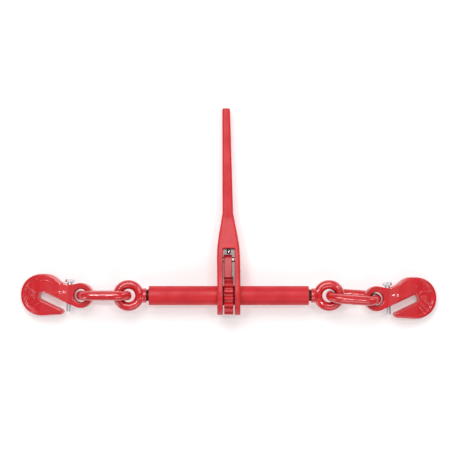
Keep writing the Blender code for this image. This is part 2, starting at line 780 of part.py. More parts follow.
def hook_side_view():
    """The hook's thickness from the side: thin eye, thick body, tapered rim."""
    rim = BODY_CENTRE[0] + BODY_RADIUS
    half_view = [
        (-EYE_RADIUS - 5, EYE_THICKNESS / 2),
        (EYE_RADIUS, EYE_THICKNESS / 2),
        (EYE_RADIUS + 14, HOOK_THICKNESS / 2),
        (BODY_CENTRE[0] + BODY_RADIUS * THICK_TO, HOOK_THICKNESS / 2),
        (rim + 1, HOOK_RIM_THICKNESS / 2),
    ]
    return half_view + [(x, -z) for x, z in reversed(half_view)]


def lock_bolt_axis():
    """The lock bolt's place in its hook: its origin on the neck, its z up out of the hook."""
    eye = (0, 0, EYE_RADIUS)
    shoulder = (*SHOULDER_CENTRE, SHOULDER_RADIUS)
    x, y, radius = fillet_circle(eye, shoulder, NECK_FILLET)
    neck_top = y - (radius**2 - (BOLT_X - x) ** 2) ** 0.5
    lean = turned_about("Z", BOLT_TILT)
    return moved(x=BOLT_X, y=neck_top) @ lean @ along("Y")


def make_hook(side, axis):
    """A forged grab hook with a slanted slot for a chain link."""
    mesh = plate(hook_outline(), HOOK_THICKNESS, HOOK_EDGE_ROUND)
    hook = place(f"{side}_hook", mesh, red_paint(f"{side}_hook_paint"), axis)
    flat = turned_about("X", 90)
    combine(hook, plate(hook_side_view(), 4 * BODY_RADIUS, 0.0, flat), "INTERSECT")
    half = EYE_THICKNESS / 2
    wide = EYE_HOLE_RADIUS + EYE_CHAMFER
    profile = [
        (0, half + 3),
        (wide + 3, half + 3),
        (wide, half),
        (EYE_HOLE_RADIUS + EYE_CHAMFER * 0.3, half - EYE_CHAMFER * 0.7),
        (EYE_HOLE_RADIUS, half - EYE_CHAMFER * 1.7),
        (EYE_HOLE_RADIUS, EYE_CHAMFER * 1.7 - half),
        (EYE_HOLE_RADIUS + EYE_CHAMFER * 0.3, EYE_CHAMFER * 0.7 - half),
        (wide, -half),
        (wide + 3, -half - 3),
        (0, -half - 3),
    ]
    combine(hook, turning(profile, 36))
    hole = rod(BOLT_RADIUS + BOLT_HOLE_CLEARANCE, -BOLT_LENGTH, 20, 20, "Z")
    combine(hook, hole, matrix=lock_bolt_axis())


def make_lock_bolt(side, axis):
    """A hexagon bolt across the slot's mouth, which keeps the chain in."""
    rim = BOLT_RADIUS - END_CHAMFER
    low = BOLT_STAND_OFF - BOLT_LENGTH
    shank = turning(
        [
            (0, BOLT_STAND_OFF + 1),
            (BOLT_RADIUS, BOLT_STAND_OFF + 1),
            (BOLT_RADIUS, low + END_CHAMFER),
            (rim, low),
            (0, low),
        ],
        20,
    )
    bolt = place(f"{side}_lock_bolt", shank, steel(f"{side}_bolt_zinc", ZINC), axis)
    bolt.matrix_local = lock_bolt_axis()
    corner = BOLT_HEAD_FLATS / 2 / cos(pi / 6)
    hexagon = [(corner * cos(pi / 3 * i), corner * sin(pi / 3 * i)) for i in range(6)]
    middle = BOLT_STAND_OFF + BOLT_HEAD_HEIGHT / 2
    combine(bolt, plate(hexagon, BOLT_HEAD_HEIGHT, 0.5, moved(z=middle)), "UNION")


def hook_axis(side, outer_bar, seat_height):
    """The hook's eye, whose wall hangs in the link's window, with the hook's body on the ground.

    The hook slopes down from its eye, and the left one lies on its other face."""
    rest = BODY_CENTRE[0] + BODY_RADIUS * THICK_TO + EYE_WALL_MIDDLE
    drop = seat_height - GROUND - TOUCH_GAP
    reach = hypot(rest, HOOK_THICKNESS / 2)
    pitch = asin(drop / reach) - atan2(HOOK_THICKNESS / 2, rest)
    outward = 1 if side == "right" else -1
    lie = (
        turned_about("Z", HOOK_YAW[side])
        @ Matrix.Rotation(outward * pitch, 4, "Y")
        @ (Matrix() if side == "right" else turned_about("Y", 180))
    )
    eye = Vector(outer_bar)
    eye.x -= outward * EYE_SHIFT[side] * MM
    eye.z = (seat_height - EYE_WALL_MIDDLE * sin(pitch)) * MM
    return add_axis(f"{side}_hook_axis", Matrix.Translation(eye) @ lie)


# --- Assembly --------------------------------------------------------------------------------

clear_scene()
parts = new_collection("load_binder")
cutters = new_collection("cutters")

handle_axis = add_axis("handle_axis", turned_about("X", -LEVER_DROP))
pawl_axis = add_axis("pawl_axis", moved(y=PAWL_PIVOT), handle_axis)

make_barrel()
make_ratchet_gear()
make_gear_key()
make_handle()
make_pawl()
make_pawl_pin()
make_detent()

for side, frame in (("left", turned_about("Z", 180)), ("right", Matrix())):
    make_eye_bolt(side, frame)
    make_stop_washer(side, frame)
    make_stop_clip(side, frame)
    link_axis, outer_bar, seat_height = link_axes(side, frame)
    make_link(side, link_axis)
    eye_axis = hook_axis(side, outer_bar, seat_height)
    make_hook(side, eye_axis)
    make_lock_bolt(side, eye_axis)

print(f"{len([p for p in parts.objects if p.type == 'MESH'])} sub-parts modelled")
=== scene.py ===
# %% [markdown]
# # A ratchet load binder, piece by piece
#
# A load binder tightens the chain that holds a load on a truck. Its barrel is a long nut with
# a left-hand thread at one end and a right-hand thread at the other, so turning it draws both
# eye bolts in. A lever with a pawl turns it by its ratchet gear. Each eye bolt carries one
# chain link and one grab hook, and a lock bolt keeps the chain in the hook's slot.
#
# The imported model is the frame: every piece here stands where its solid stands, and rides on
# the same body. We load it first and note its box, because the finished model has to fit it.

# %% Load the frame
import json
from math import cos, exp, hypot, pi, radians, sin

import bmesh
import bpy
import numpy as np
from mathutils import Matrix, Vector


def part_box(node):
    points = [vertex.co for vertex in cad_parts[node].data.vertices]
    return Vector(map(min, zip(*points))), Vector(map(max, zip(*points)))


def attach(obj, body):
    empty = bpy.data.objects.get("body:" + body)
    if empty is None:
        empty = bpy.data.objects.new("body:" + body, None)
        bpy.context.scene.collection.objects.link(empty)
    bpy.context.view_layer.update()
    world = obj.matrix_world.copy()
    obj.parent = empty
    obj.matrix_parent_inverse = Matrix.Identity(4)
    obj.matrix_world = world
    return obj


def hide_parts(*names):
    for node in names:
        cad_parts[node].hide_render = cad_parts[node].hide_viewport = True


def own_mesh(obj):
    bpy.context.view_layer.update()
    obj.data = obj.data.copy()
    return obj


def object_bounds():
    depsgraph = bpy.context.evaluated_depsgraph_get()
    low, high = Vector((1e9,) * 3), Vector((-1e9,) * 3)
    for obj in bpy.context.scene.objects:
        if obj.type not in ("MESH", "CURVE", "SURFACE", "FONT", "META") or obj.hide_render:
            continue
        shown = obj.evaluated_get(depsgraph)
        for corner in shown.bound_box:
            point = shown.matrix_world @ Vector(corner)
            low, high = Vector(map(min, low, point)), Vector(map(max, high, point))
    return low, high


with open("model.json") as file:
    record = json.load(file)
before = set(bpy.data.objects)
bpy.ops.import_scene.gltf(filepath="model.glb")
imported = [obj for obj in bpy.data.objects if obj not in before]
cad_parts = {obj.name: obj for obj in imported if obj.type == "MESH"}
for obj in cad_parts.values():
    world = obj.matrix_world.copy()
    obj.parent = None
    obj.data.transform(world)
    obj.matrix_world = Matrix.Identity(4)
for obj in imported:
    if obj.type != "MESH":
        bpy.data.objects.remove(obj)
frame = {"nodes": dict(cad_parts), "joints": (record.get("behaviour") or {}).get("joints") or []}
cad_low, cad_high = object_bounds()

MM = 0.001
SIDES = {"left": -1, "right": 1}
JOINTS = {joint["name"]: joint for joint in frame["joints"]}
print("box of the frame in mm:", [round(v / MM, 1) for v in (cad_high - cad_low)])

# %% [markdown]
# ## Small helpers for nodes
#
# Shader trees and Geometry Nodes trees are both built by making nodes and joining sockets.
# One helper makes a node, sets its properties and fills its inputs, either with a value or
# with another node's output. It keeps each tree readable as a list of steps.


# %% Make a node and fill its inputs
def node(tree, kind, inputs=None, **settings):
    made = tree.nodes.new(kind)
    for name, value in settings.items():
        setattr(made, name, value)
    for name, value in (inputs or {}).items():
        if isinstance(value, bpy.types.NodeSocket):
            tree.links.new(value, made.inputs[name])
        else:
            made.inputs[name].default_value = value
    return made


def new_group(name, kind, inputs, outputs):
    """An empty node group with named sockets, and its input and output nodes."""
    group = bpy.data.node_groups.new(name, kind)
    for label, socket, value in inputs:
        made = group.interface.new_socket(label, in_out="INPUT", socket_type=socket)
        if value is not None:
            made.default_value = value
    for label, socket in outputs:
        group.interface.new_socket(label, in_out="OUTPUT", socket_type=socket)
    return group, group.nodes.new("NodeGroupInput"), group.nodes.new("NodeGroupOutput")


FLOAT = "NodeSocketFloat"

# %% [markdown]
# ## What every finish shares
#
# Sprayed enamel is never quite flat. It has a fine orange peel, it follows the scale marks of
# the forging under it, and it wears through first on corners. Hollows and corners are darkened
# as painted shade. We build these effects once, as groups that give only masks and heights,
# so that each finish can use them with its own strengths.


# %% Surface relief: forging marks under a fine orange peel
def make_relief():
    group, given, out = new_group(
        "surface_relief",
        "ShaderNodeTree",
        [
            ("Forging Scale", FLOAT, 110.0),
            ("Forging", FLOAT, 1.0),
            ("Peel Scale", FLOAT, 900.0),
            ("Peel", FLOAT, 0.1),
        ],
        [("Height", FLOAT), ("Patches", FLOAT)],
    )
    place = node(group, "ShaderNodeTexCoord").outputs["Object"]
    forging = node(
        group,
        "ShaderNodeTexNoise",
        {"Vector": place, "Scale": given.outputs["Forging Scale"], "Detail": 2.5},
    )
    peel = node(
        group,
        "ShaderNodeTexNoise",
        {"Vector": place, "Scale": given.outputs["Peel Scale"], "Detail": 1.0},
    )
    patches = node(
        group, "ShaderNodeTexNoise", {"Vector": place, "Scale": 38.0, "Detail": 3.0}
    )
    big = node(
        group,
        "ShaderNodeMath",
        {0: forging.outputs["Fac"], 1: given.outputs["Forging"]},
        operation="MULTIPLY",
    )
    both = node(
        group,
        "ShaderNodeMath",
        {0: peel.outputs["Fac"], 1: given.outputs["Peel"], 2: big.outputs[0]},
        operation="MULTIPLY_ADD",
    )
    group.links.new(both.outputs[0], out.inputs["Height"])
    group.links.new(patches.outputs["Fac"], out.inputs["Patches"])
    return group


relief = make_relief()


# %% Edge wear and painted shade in hollows
def make_wear():
    group, given, out = new_group(
        "edge_wear",
        "ShaderNodeTree",
        [("Start", FLOAT, 0.56), ("Width", FLOAT, 0.08), ("Patch Scale", FLOAT, 320.0)],
        [("Mask", FLOAT)],
    )
    place = node(group, "ShaderNodeTexCoord").outputs["Object"]
    edge = node(group, "ShaderNodeNewGeometry").outputs["Pointiness"]
    end = node(
        group,
        "ShaderNodeMath",
        {0: given.outputs["Start"], 1: given.outputs["Width"]},
        operation="ADD",
    )
    corner = node(
        group,
        "ShaderNodeMapRange",
        {"Value": edge, "From Min": given.outputs["Start"], "From Max": end.outputs[0]},
    )
    chips = node(
        group,
        "ShaderNodeTexNoise",
        {"Vector": place, "Scale": given.outputs["Patch Scale"], "Detail": 4.0},
    )
    broken = node(
        group,
        "ShaderNodeMapRange",
        {"Value": chips.outputs["Fac"], "From Min": 0.48, "From Max": 0.6},
    )
    mask = node(
        group,
        "ShaderNodeMath",
        {0: corner.outputs[0], 1: broken.outputs[0]},
        operation="MULTIPLY",
    )
    group.links.new(mask.outputs[0], out.inputs["Mask"])
    return group


wear = make_wear()


def make_recess_shade():
    group, given, out = new_group(
        "painted_recess_shade",
        "ShaderNodeTree",
        [("Reach", FLOAT, 0.006), ("Amount", FLOAT, 0.6)],
        [("Mask", FLOAT)],
    )
    # Where ambient occlusion finds the surface shut in, the mask rises: this is painted shade in
    # hollows, tooth gaps and corners.
    shut_in = node(
        group, "ShaderNodeAmbientOcclusion", {"Distance": given.outputs["Reach"]}, samples=8
    )
    deep = node(
        group,
        "ShaderNodeMapRange",
        {
            "Value": shut_in.outputs["AO"],
            "From Min": 0.65,
            "From Max": 0.15,
            "To Max": given.outputs["Amount"],
        },
    )
    group.links.new(deep.outputs[0], out.inputs["Mask"])
    return group


recess_shade = make_recess_shade()
print("shader groups:", [g.name for g in bpy.data.node_groups])

# %% [markdown]
# ## The red enamel
#
# The castings and forgings are all sprayed with the same red enamel, but it lies differently:
# wet and glossy on the round links and rings, drier on the lever and the barrel. So one
# function makes the finish, and each group of pieces sets gloss, relief, wear and painted shade.


# %% Red enamel
ENAMEL = (0.640, 0.0085, 0.0165)
ENAMEL_DEEP = (0.480, 0.0055, 0.0110)
BARE_EDGE = (0.20, 0.10, 0.09)
# Near-black colour of the painted shade in hollows and corners.
RECESS_SHADE_COLOUR = (0.018, 0.012, 0.011)
ENAMEL_RELIEF, STEEL_RELIEF = 0.0006, 0.0002


def mix_colour(tree, mask, first, second):
    mixed = node(tree, "ShaderNodeMix", data_type="RGBA")
    for socket, value in ((0, mask), (6, first), (7, second)):
        if isinstance(value, bpy.types.NodeSocket):
            tree.links.new(value, mixed.inputs[socket])
        elif isinstance(value, tuple):
            mixed.inputs[socket].default_value = (*value, 1.0)
        else:
            mixed.inputs[socket].default_value = value
    return mixed.outputs[2]


def enamel(
    name,
    gloss=0.22,
    forging=0.7,
    peel=0.1,
    forging_scale=110.0,
    bump=0.35,
    wear_start=0.57,
    shade_amount=0.6,
    coat=0.5,
    coat_rough=0.06,
):
    material = bpy.data.materials.new(name)
    material.use_nodes = True
    tree = material.node_tree
    shader = tree.nodes["Principled BSDF"]
    skin = node(tree, "ShaderNodeGroup", node_tree=relief)
    skin.inputs["Forging Scale"].default_value = forging_scale
    skin.inputs["Forging"].default_value = forging
    skin.inputs["Peel"].default_value = peel
    worn = node(tree, "ShaderNodeGroup", node_tree=wear)
    worn.inputs["Start"].default_value = wear_start
    recess_shading = node(tree, "ShaderNodeGroup", node_tree=recess_shade)
    recess_shading.inputs["Amount"].default_value = shade_amount
    patches = node(
        tree,
        "ShaderNodeMapRange",
        {"Value": skin.outputs["Patches"], "From Min": 0.4, "From Max": 0.75, "To Max": 0.5},
    )
    colour = mix_colour(tree, patches.outputs[0], ENAMEL, ENAMEL_DEEP)
    colour = mix_colour(tree, worn.outputs["Mask"], colour, BARE_EDGE)
    # Painted shade: hollows and corners are darkened towards near-black by the occlusion mask.
    colour = mix_colour(tree, recess_shading.outputs["Mask"], colour, RECESS_SHADE_COLOUR)
    tree.links.new(colour, shader.inputs["Base Color"])
    dull = node(
        tree,
        "ShaderNodeMapRange",
        {
            "Value": skin.outputs["Patches"],
            "From Min": 0.3,
            "From Max": 0.8,
            "To Min": gloss * 0.85,
            "To Max": gloss * 1.35,
        },
    )
    tree.links.new(dull.outputs[0], shader.inputs["Roughness"])
    raised = node(
        tree,
        "ShaderNodeBump",
        {"Height": skin.outputs["Height"], "Strength": bump, "Distance": ENAMEL_RELIEF},
    )
    tree.links.new(raised.outputs["Normal"], shader.inputs["Normal"])
    shader.inputs["Coat Weight"].default_value = coat
    shader.inputs["Coat Roughness"].default_value = coat_rough
    return material


forged_red = enamel(
    "forged_red", gloss=0.34, forging=0.7, bump=0.26, coat=0.7, coat_rough=0.05
)
link_red = enamel(
    "link_red", gloss=0.30, forging=0.4, bump=0.16, coat=1.0, coat_rough=0.03
)
lever_red = enamel("lever_red", gloss=0.50, forging=0.4, peel=0.14, bump=0.2, coat=0.1)
barrel_red = enamel("barrel_red", gloss=0.52, forging=0.3, peel=0.1, bump=0.2, coat=0.05)
# The gear and the pawl take the strongest painted shade in their gaps.
gear_red = enamel(
    "gear_red", gloss=0.42, forging=0.6, wear_start=0.55, shade_amount=0.95, coat=0.2
)

# %% [markdown]
# ## The bare metals
#
# The zinc-plated lock bolts are the brightest things on the binder. The spindle threads are
# bare steel under oil, nearly black between the crests. The pin, the plunger and the hidden
# washers are turned steel, which shows fine rings round its axis.


# %% Steel and zinc
def metal(
    name, colour, dark, rough, scale=600.0, bump=0.15, shade_amount=0.5, metallic=1.0
):
    material = bpy.data.materials.new(name)
    material.use_nodes = True
    tree = material.node_tree
    shader = tree.nodes["Principled BSDF"]
    skin = node(tree, "ShaderNodeGroup", node_tree=relief)
    skin.inputs["Forging Scale"].default_value = scale
    skin.inputs["Forging"].default_value = 0.5
    skin.inputs["Peel"].default_value = 0.3
    recess_shading = node(tree, "ShaderNodeGroup", node_tree=recess_shade)
    recess_shading.inputs["Reach"].default_value = 0.002
    recess_shading.inputs["Amount"].default_value = shade_amount
    spots = node(
        tree,
        "ShaderNodeMapRange",
        {"Value": skin.outputs["Patches"], "From Min": 0.35, "From Max": 0.7},
    )
    shade = mix_colour(tree, spots.outputs[0], colour, dark)
    # Painted shade: hollows are darkened towards near-black by the occlusion mask.
    shade = mix_colour(tree, recess_shading.outputs["Mask"], shade, RECESS_SHADE_COLOUR)
    tree.links.new(shade, shader.inputs["Base Color"])
    dull = node(
        tree,
        "ShaderNodeMapRange",
        {"Value": skin.outputs["Patches"], "To Min": rough * 0.8, "To Max": rough * 1.3},
    )
    tree.links.new(dull.outputs[0], shader.inputs["Roughness"])
    raised = node(
        tree,
        "ShaderNodeBump",
        {"Height": skin.outputs["Height"], "Strength": bump, "Distance": STEEL_RELIEF},
    )
    tree.links.new(raised.outputs["Normal"], shader.inputs["Normal"])
    shader.inputs["Metallic"].default_value = metallic
    return material


zinc = metal("bright_zinc", (0.82, 0.85, 0.88), (0.60, 0.64, 0.68), 0.30, metallic=0.85)
# Nearly black oiled steel for the threads and the bore; on the lever's slot walls the same
# colour is painted shade.
oiled_steel_and_slot_shade = metal(
    "oiled_steel_and_slot_shade", (0.045, 0.036, 0.033), (0.02, 0.016, 0.015), 0.42, bump=0.3
)
turned_steel = metal("turned_steel", (0.62, 0.61, 0.59), (0.42, 0.41, 0.39), 0.26)
spring_wire = metal("spring_wire", (0.30, 0.29, 0.28), (0.16, 0.15, 0.14), 0.32)
print(len(bpy.data.materials), "materials")

# %% [markdown]
# ## Finishing a mesh
#
# Each piece is a mesh whose points already stand in the frame, on an object at the origin.
# One helper turns a mesh into a piece: it gives it its materials, smooths the shading with
# creases kept at real edges, hangs it on the body it rides on and hides the solid it stands for.


# %% From a mesh to a riding piece
def tidy_normals(mesh, within=0.002 * MM):
    work = bmesh.new()
    work.from_mesh(mesh)
    bmesh.ops.remove_doubles(work, verts=work.verts, dist=within)
    bmesh.ops.recalc_face_normals(work, faces=work.faces)
    work.to_mesh(mesh)
    work.free()
    return mesh


def piece(name, mesh, body, stands_for, finish, *materials, crease=40):
    if materials:
        mesh.materials.clear()
        for material in materials:
            mesh.materials.append(material)
    mesh.shade_smooth()
    mesh.set_sharp_from_angle(angle=radians(crease))
    made = bpy.data.objects.new(name, mesh)
    bpy.context.scene.collection.objects.link(made)
    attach(made, body)
    if stands_for:
        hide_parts(stands_for)
    print(f"{name}: {sum(len(p.vertices) - 2 for p in mesh.polygons)} triangles")
    return made


def baked(obj):
    """The plain mesh of an object with its modifiers, which is then removed."""
    bpy.context.view_layer.update()
    graph = bpy.context.evaluated_depsgraph_get()
    mesh = bpy.data.meshes.new_from_object(obj.evaluated_get(graph))
    bpy.data.objects.remove(obj)
    return mesh


def holder(data, name="work"):
    """An object in the scene that holds this mesh, curve or camera."""
    made = bpy.data.objects.new(name, data)
    bpy.context.scene.collection.objects.link(made)
    return made


def mesh_in_mm(name, points, faces):
    """A mesh from points given in mm."""
    mesh = bpy.data.meshes.new(name)
    mesh.from_pydata([tuple(v * MM for v in p) for p in points], [], faces)
    return mesh


def standing(origin, x, y, z):
    """Takes points from axes of their own to these directions, which meet at the origin."""
    return Matrix.Translation(origin) @ Matrix((x, y, z)).transposed().to_4x4()


# %% [markdown]
# ## Turned shapes
#
# A barrel, a pin or a spindle is a profile swung round its axis. The profile is a short list
# of corners, and a real lathe never leaves them sharp, so a helper eases each corner with a
# small curve first. Light then runs along a thin bright line at every edge.


# %% Ease a profile and turn it
def eased(corners, reach, closed=False, steps=4):
    """The same line with each corner replaced by a short curve."""
    count = len(corners)
    line = []
    for i, corner in enumerate(corners):
        here = np.array(corner, float)
        if not closed and i in (0, count - 1):
            line.append(tuple(here))
            continue
        before = np.array(corners[i - 1], float) - here
        after = np.array(corners[(i + 1) % count], float) - here
        lengths = np.linalg.norm(before), np.linalg.norm(after)
        size = min(reach, 0.45 * lengths[0], 0.45 * lengths[1])
        first, last = here + before / lengths[0] * size, here + after / lengths[1] * size
        for k in range(steps + 1):
            t = k / steps
            line.append(tuple((1 - t) ** 2 * first + 2 * t * (1 - t) * here + t * t * last))
    return line


def turned(profile, steps=96, closed=False, place=Matrix()):
    """Turns (x, radius) points in mm about the X axis. A radius of 0 makes a pole."""
    points, rows, faces = [], [], []
    for x, radius in profile:
        if radius < 1e-6:
            rows.append([len(points)])
            points.append((x, 0, 0))
            continue
        rows.append(list(range(len(points), len(points) + steps)))
        for i in range(steps):
            angle = 2 * pi * i / steps
            points.append((x, radius * cos(angle), radius * sin(angle)))
    pairs = list(zip(rows, rows[1:])) + ([(rows[-1], rows[0])] if closed else [])
    for low, high in pairs:
        for i in range(steps):
            j = (i + 1) % steps
            ring = [low[i % len(low)], low[j % len(low)]]
            ring += [high[j % len(high)], high[i % len(high)]]
            ring = list(dict.fromkeys(ring))
            if len(ring) > 2:
                faces.append(ring)
    mesh = mesh_in_mm("turned", points, faces)
    mesh.transform(place)
    return tidy_normals(mesh)


# %% [markdown]
# ## The barrel
#
# The barrel is a thick tube. Its outside is red; its bore was threaded before painting and is
# dark with oil, which shows as a thin black band round each spindle. We turn it as one closed
# profile and give the faces of the bore the thread's finish.


# %% Turn the barrel
barrel_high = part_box("barrel")[1]
HALF_BARREL = barrel_high.x / MM
BARREL_RADIUS = barrel_high.z / MM
NUT_RADIUS = 11.0
NUT_ZONE = 30.0
RELIEF_RADIUS = 11.9
MOUTH_FLARE, MOUTH_DEPTH, BORE_STEP = 0.6, 1.2, 1

barrel_profile = eased(
    [
        (HALF_BARREL, NUT_RADIUS + MOUTH_FLARE),
        (HALF_BARREL, BARREL_RADIUS),
        (-HALF_BARREL, BARREL_RADIUS),
        (-HALF_BARREL, NUT_RADIUS + MOUTH_FLARE),
        (MOUTH_DEPTH - HALF_BARREL, NUT_RADIUS),
        (NUT_ZONE - HALF_BARREL, NUT_RADIUS),
        (NUT_ZONE + BORE_STEP - HALF_BARREL, RELIEF_RADIUS),
        (HALF_BARREL - NUT_ZONE - BORE_STEP, RELIEF_RADIUS),
        (HALF_BARREL - NUT_ZONE, NUT_RADIUS),
        (HALF_BARREL - MOUTH_DEPTH, NUT_RADIUS),
    ],
    1.0,
    closed=True,
)
barrel_mesh = turned(barrel_profile, 128, closed=True)
for face in barrel_mesh.polygons:
    middle = face.center / MM
    face.material_index = int(hypot(middle.y, middle.z) < NUT_RADIUS + BORE_STEP)
piece(
    "barrel_tube",
    barrel_mesh,
    "barrel_group",
    "barrel",
    "red_paint",
    barrel_red,
    oiled_steel_and_slot_shade,
)

# %% [markdown]
# ## The ratchet gear
#
# The gear repeats one tooth sixteen times, so we model one sixteenth of it: the half gaps at
# either side, the rounded tooth between them and the bore below. Geometry Nodes then sets
# sixteen copies round the barrel and welds their seams into one closed gear.


# %% Geometry Nodes: copies round the X axis
def make_round_copies():
    group, given, out = new_group(
        "copies_round_x",
        "GeometryNodeTree",
        [
            ("Geometry", "NodeSocketGeometry", None),
            ("Count", "NodeSocketInt", 16),
            ("Weld", FLOAT, 0.00001),
            ("Material", "NodeSocketMaterial", None),
        ],
        [("Geometry", "NodeSocketGeometry")],
    )
    spots = node(group, "GeometryNodeMeshLine", {"Count": given.outputs["Count"]})
    spots.inputs["Offset"].default_value = (0, 0, 0)
    number = node(group, "GeometryNodeInputIndex")
    turn = node(
        group, "ShaderNodeMath", {0: 2 * pi, 1: given.outputs["Count"]}, operation="DIVIDE"
    )
    angle = node(
        group, "ShaderNodeMath", {0: number.outputs[0], 1: turn.outputs[0]}, operation="MULTIPLY"
    )
    euler = node(group, "ShaderNodeCombineXYZ", {"X": angle.outputs[0]})
    spin = node(group, "FunctionNodeEulerToRotation", {0: euler.outputs[0]})
    copies = node(
        group,
        "GeometryNodeInstanceOnPoints",
        {
            "Points": spots.outputs["Mesh"],
            "Instance": given.outputs["Geometry"],
            "Rotation": spin.outputs[0],
        },
    )
    real = node(group, "GeometryNodeRealizeInstances", {"Geometry": copies.outputs[0]})
    weld = node(
        group,
        "GeometryNodeMergeByDistance",
        {"Geometry": real.outputs[0], "Distance": given.outputs["Weld"]},
    )
    dress = node(
        group,
        "GeometryNodeSetMaterial",
        {"Geometry": weld.outputs[0], "Material": given.outputs["Material"]},
    )
    group.links.new(dress.outputs[0], out.inputs[0])
    return group


def use_tree(obj, tree, **values):
    """Puts a Geometry Nodes tree on an object and sets its inputs by their identifiers."""
    change = obj.modifiers.new(tree.name, "NODES")
    change.node_group = tree
    names = {
        item.name: item.identifier
        for item in tree.interface.items_tree
        if getattr(item, "in_out", "") == "INPUT"
    }
    for name, value in values.items():
        change[names[name.replace("_", " ")]] = value
    return change


round_copies = make_round_copies()

# %% One tooth of the gear, then all of them
GEAR_TEETH = 16
GEAR_TIP, GEAR_ROOT = 30.6, 25.0
GEAR_HALF_WIDTH = 7.3
ROOT_ANGLE, TIP_ANGLE, TOOTH_EASE = 7.0, 3.4, 1.1
BORE_GAP, BORE_STEPS = 0.3, 8
EDGE_REACH, EDGE_STEPS = 1.0, 4
press_axis = JOINTS["detent_press"]["axis"]
lever_drop = np.arctan2(press_axis[2], press_axis[1])


def tooth_sector():
    """One sixteenth of the gear as a closed sweep of cross-sections from face to face."""
    half = 180 / GEAR_TEETH
    corners = [
        (-half, GEAR_ROOT),
        (-ROOT_ANGLE, GEAR_ROOT),
        (-TIP_ANGLE, GEAR_TIP),
        (TIP_ANGLE, GEAR_TIP),
        (ROOT_ANGLE, GEAR_ROOT),
        (half, GEAR_ROOT),
    ]
    scale = radians(1) * GEAR_TIP
    flat = [(a * scale, r) for a, r in corners]
    rim = [(x / scale, r) for x, r in eased(flat, TOOTH_EASE)]
    bore = [
        (half * (1 - 2 * i / BORE_STEPS), BARREL_RADIUS + BORE_GAP)
        for i in range(BORE_STEPS + 1)
    ]
    stations = [(-GEAR_HALF_WIDTH, EDGE_REACH)]
    for k in range(1, EDGE_STEPS + 1):
        turn = radians(90 * k / EDGE_STEPS)
        x = -GEAR_HALF_WIDTH + EDGE_REACH * (1 - cos(turn))
        stations.append((x, EDGE_REACH * (1 - sin(turn))))
    stations += [(-x, inset) for x, inset in reversed(stations)]
    rings = []
    for x, inset in stations:
        # The rounding at the faces is full at a tooth's tip and half as deep at its root.
        ring = [(x, a, r - inset * min(1.0, (r - GEAR_ROOT) / 2 + 0.5)) for a, r in rim]
        ring += [(x, a, r) for a, r in bore]
        rings.append(ring)
    points, faces = [], []
    for ring in rings:
        for x, angle, radius in ring:
            turn = radians(angle + half) + lever_drop
            points.append((x, radius * cos(turn), radius * sin(turn)))
    size = len(rings[0])
    for row in range(len(rings) - 1):
        for i in range(size):
            j = (i + 1) % size
            if i in (len(rim) - 1, size - 1):
                continue
            start = row * size
            faces.append((start + i, start + j, start + size + j, start + size + i))
    last = (len(rings) - 1) * size
    split = len(rim)
    for start in (0, last):
        for i in range(split - 1):
            a = size - 1 - round(i * BORE_STEPS / (split - 1))
            b = size - 1 - round((i + 1) * BORE_STEPS / (split - 1))
            face = [start + i, start + i + 1, start + b]
            faces.append(face + ([start + a] if a != b else []))
    return mesh_in_mm("tooth", points, faces)


gear_work = holder(tooth_sector())
use_tree(gear_work, round_copies, Count=GEAR_TEETH, Weld=0.00002, Material=gear_red)
piece(
    "ratchet_gear_teeth",
    tidy_normals(baked(gear_work)),
    "barrel_group",
    "ratchet_gear",
    "red_paint",
    gear_red,
)

# %% [markdown]
# ## Forged pieces
#
# The lever, the pawl, the hooks and the eye bolts are forged: their edges are soft and their
# inside corners flow. A voxel remesh turns a solid into an even skin of small squares, and a
# few rounds of smoothing then wear down every edge the way a forging die rounds it. The
# remesh needs a closed skin, so the loose triangles of a solid are merged first.


# %% Skin a solid like a forging
def forged_skin(mesh, cell, rounds, pull=0.5):
    """An even, softly rounded skin over a closed mesh. The cell is its mesh size in mm."""
    work = holder(tidy_normals(mesh))
    remesh = work.modifiers.new("Skin", "REMESH")
    remesh.mode = "VOXEL"
    remesh.voxel_size = cell * MM
    soften = work.modifiers.new("Soften", "SMOOTH")
    soften.factor = pull
    soften.iterations = rounds
    return baked(work)


def solid_copy(name):
    return frame["nodes"][name].data.copy()


# The walls of the lever's slot take the threads' near-black finish as painted shade, so the slot
# is dark inside.
lever_mesh = forged_skin(solid_copy("handle"), cell=0.8, rounds=7)
lever_mesh.materials.clear()
for material in (lever_red, oiled_steel_and_slot_shade):
    lever_mesh.materials.append(material)
SLOT_HALF, SLOT_TOP, TOP_SKIN = 9.5, 75.0, 0.55
for face in lever_mesh.polygons:
    place = face.center / MM
    inside = abs(place.x) < SLOT_HALF and place.y < SLOT_TOP
    face.material_index = int(inside and face.normal.z < TOP_SKIN)
piece("forged_lever", lever_mesh, "lever", "handle", "red_paint", crease=60)
piece(
    "ratchet_pawl",
    forged_skin(solid_copy("pawl"), cell=0.45, rounds=6),
    "pawl",
    "pawl",
    "red_paint",
    gear_red,
    crease=60,
)

# %% [markdown]
# ## Pin and plunger
#
# The pawl turns on a ground steel pin, and a spring plunger behind it holds it in or out of
# mesh. Both are turned. Their places and directions come from the frame: the pin lies along
# X, and the plunger along the lever, which leans down to the ground by a few degrees.


# %% Turn the pin and the plunger
def line_up(direction, start=(0, 0, 0)):
    """Takes pieces made along X to this direction from this point."""
    turn = Vector(direction).to_track_quat("X", "Z").to_matrix().to_4x4()
    return Matrix.Translation(Vector(start)) @ turn


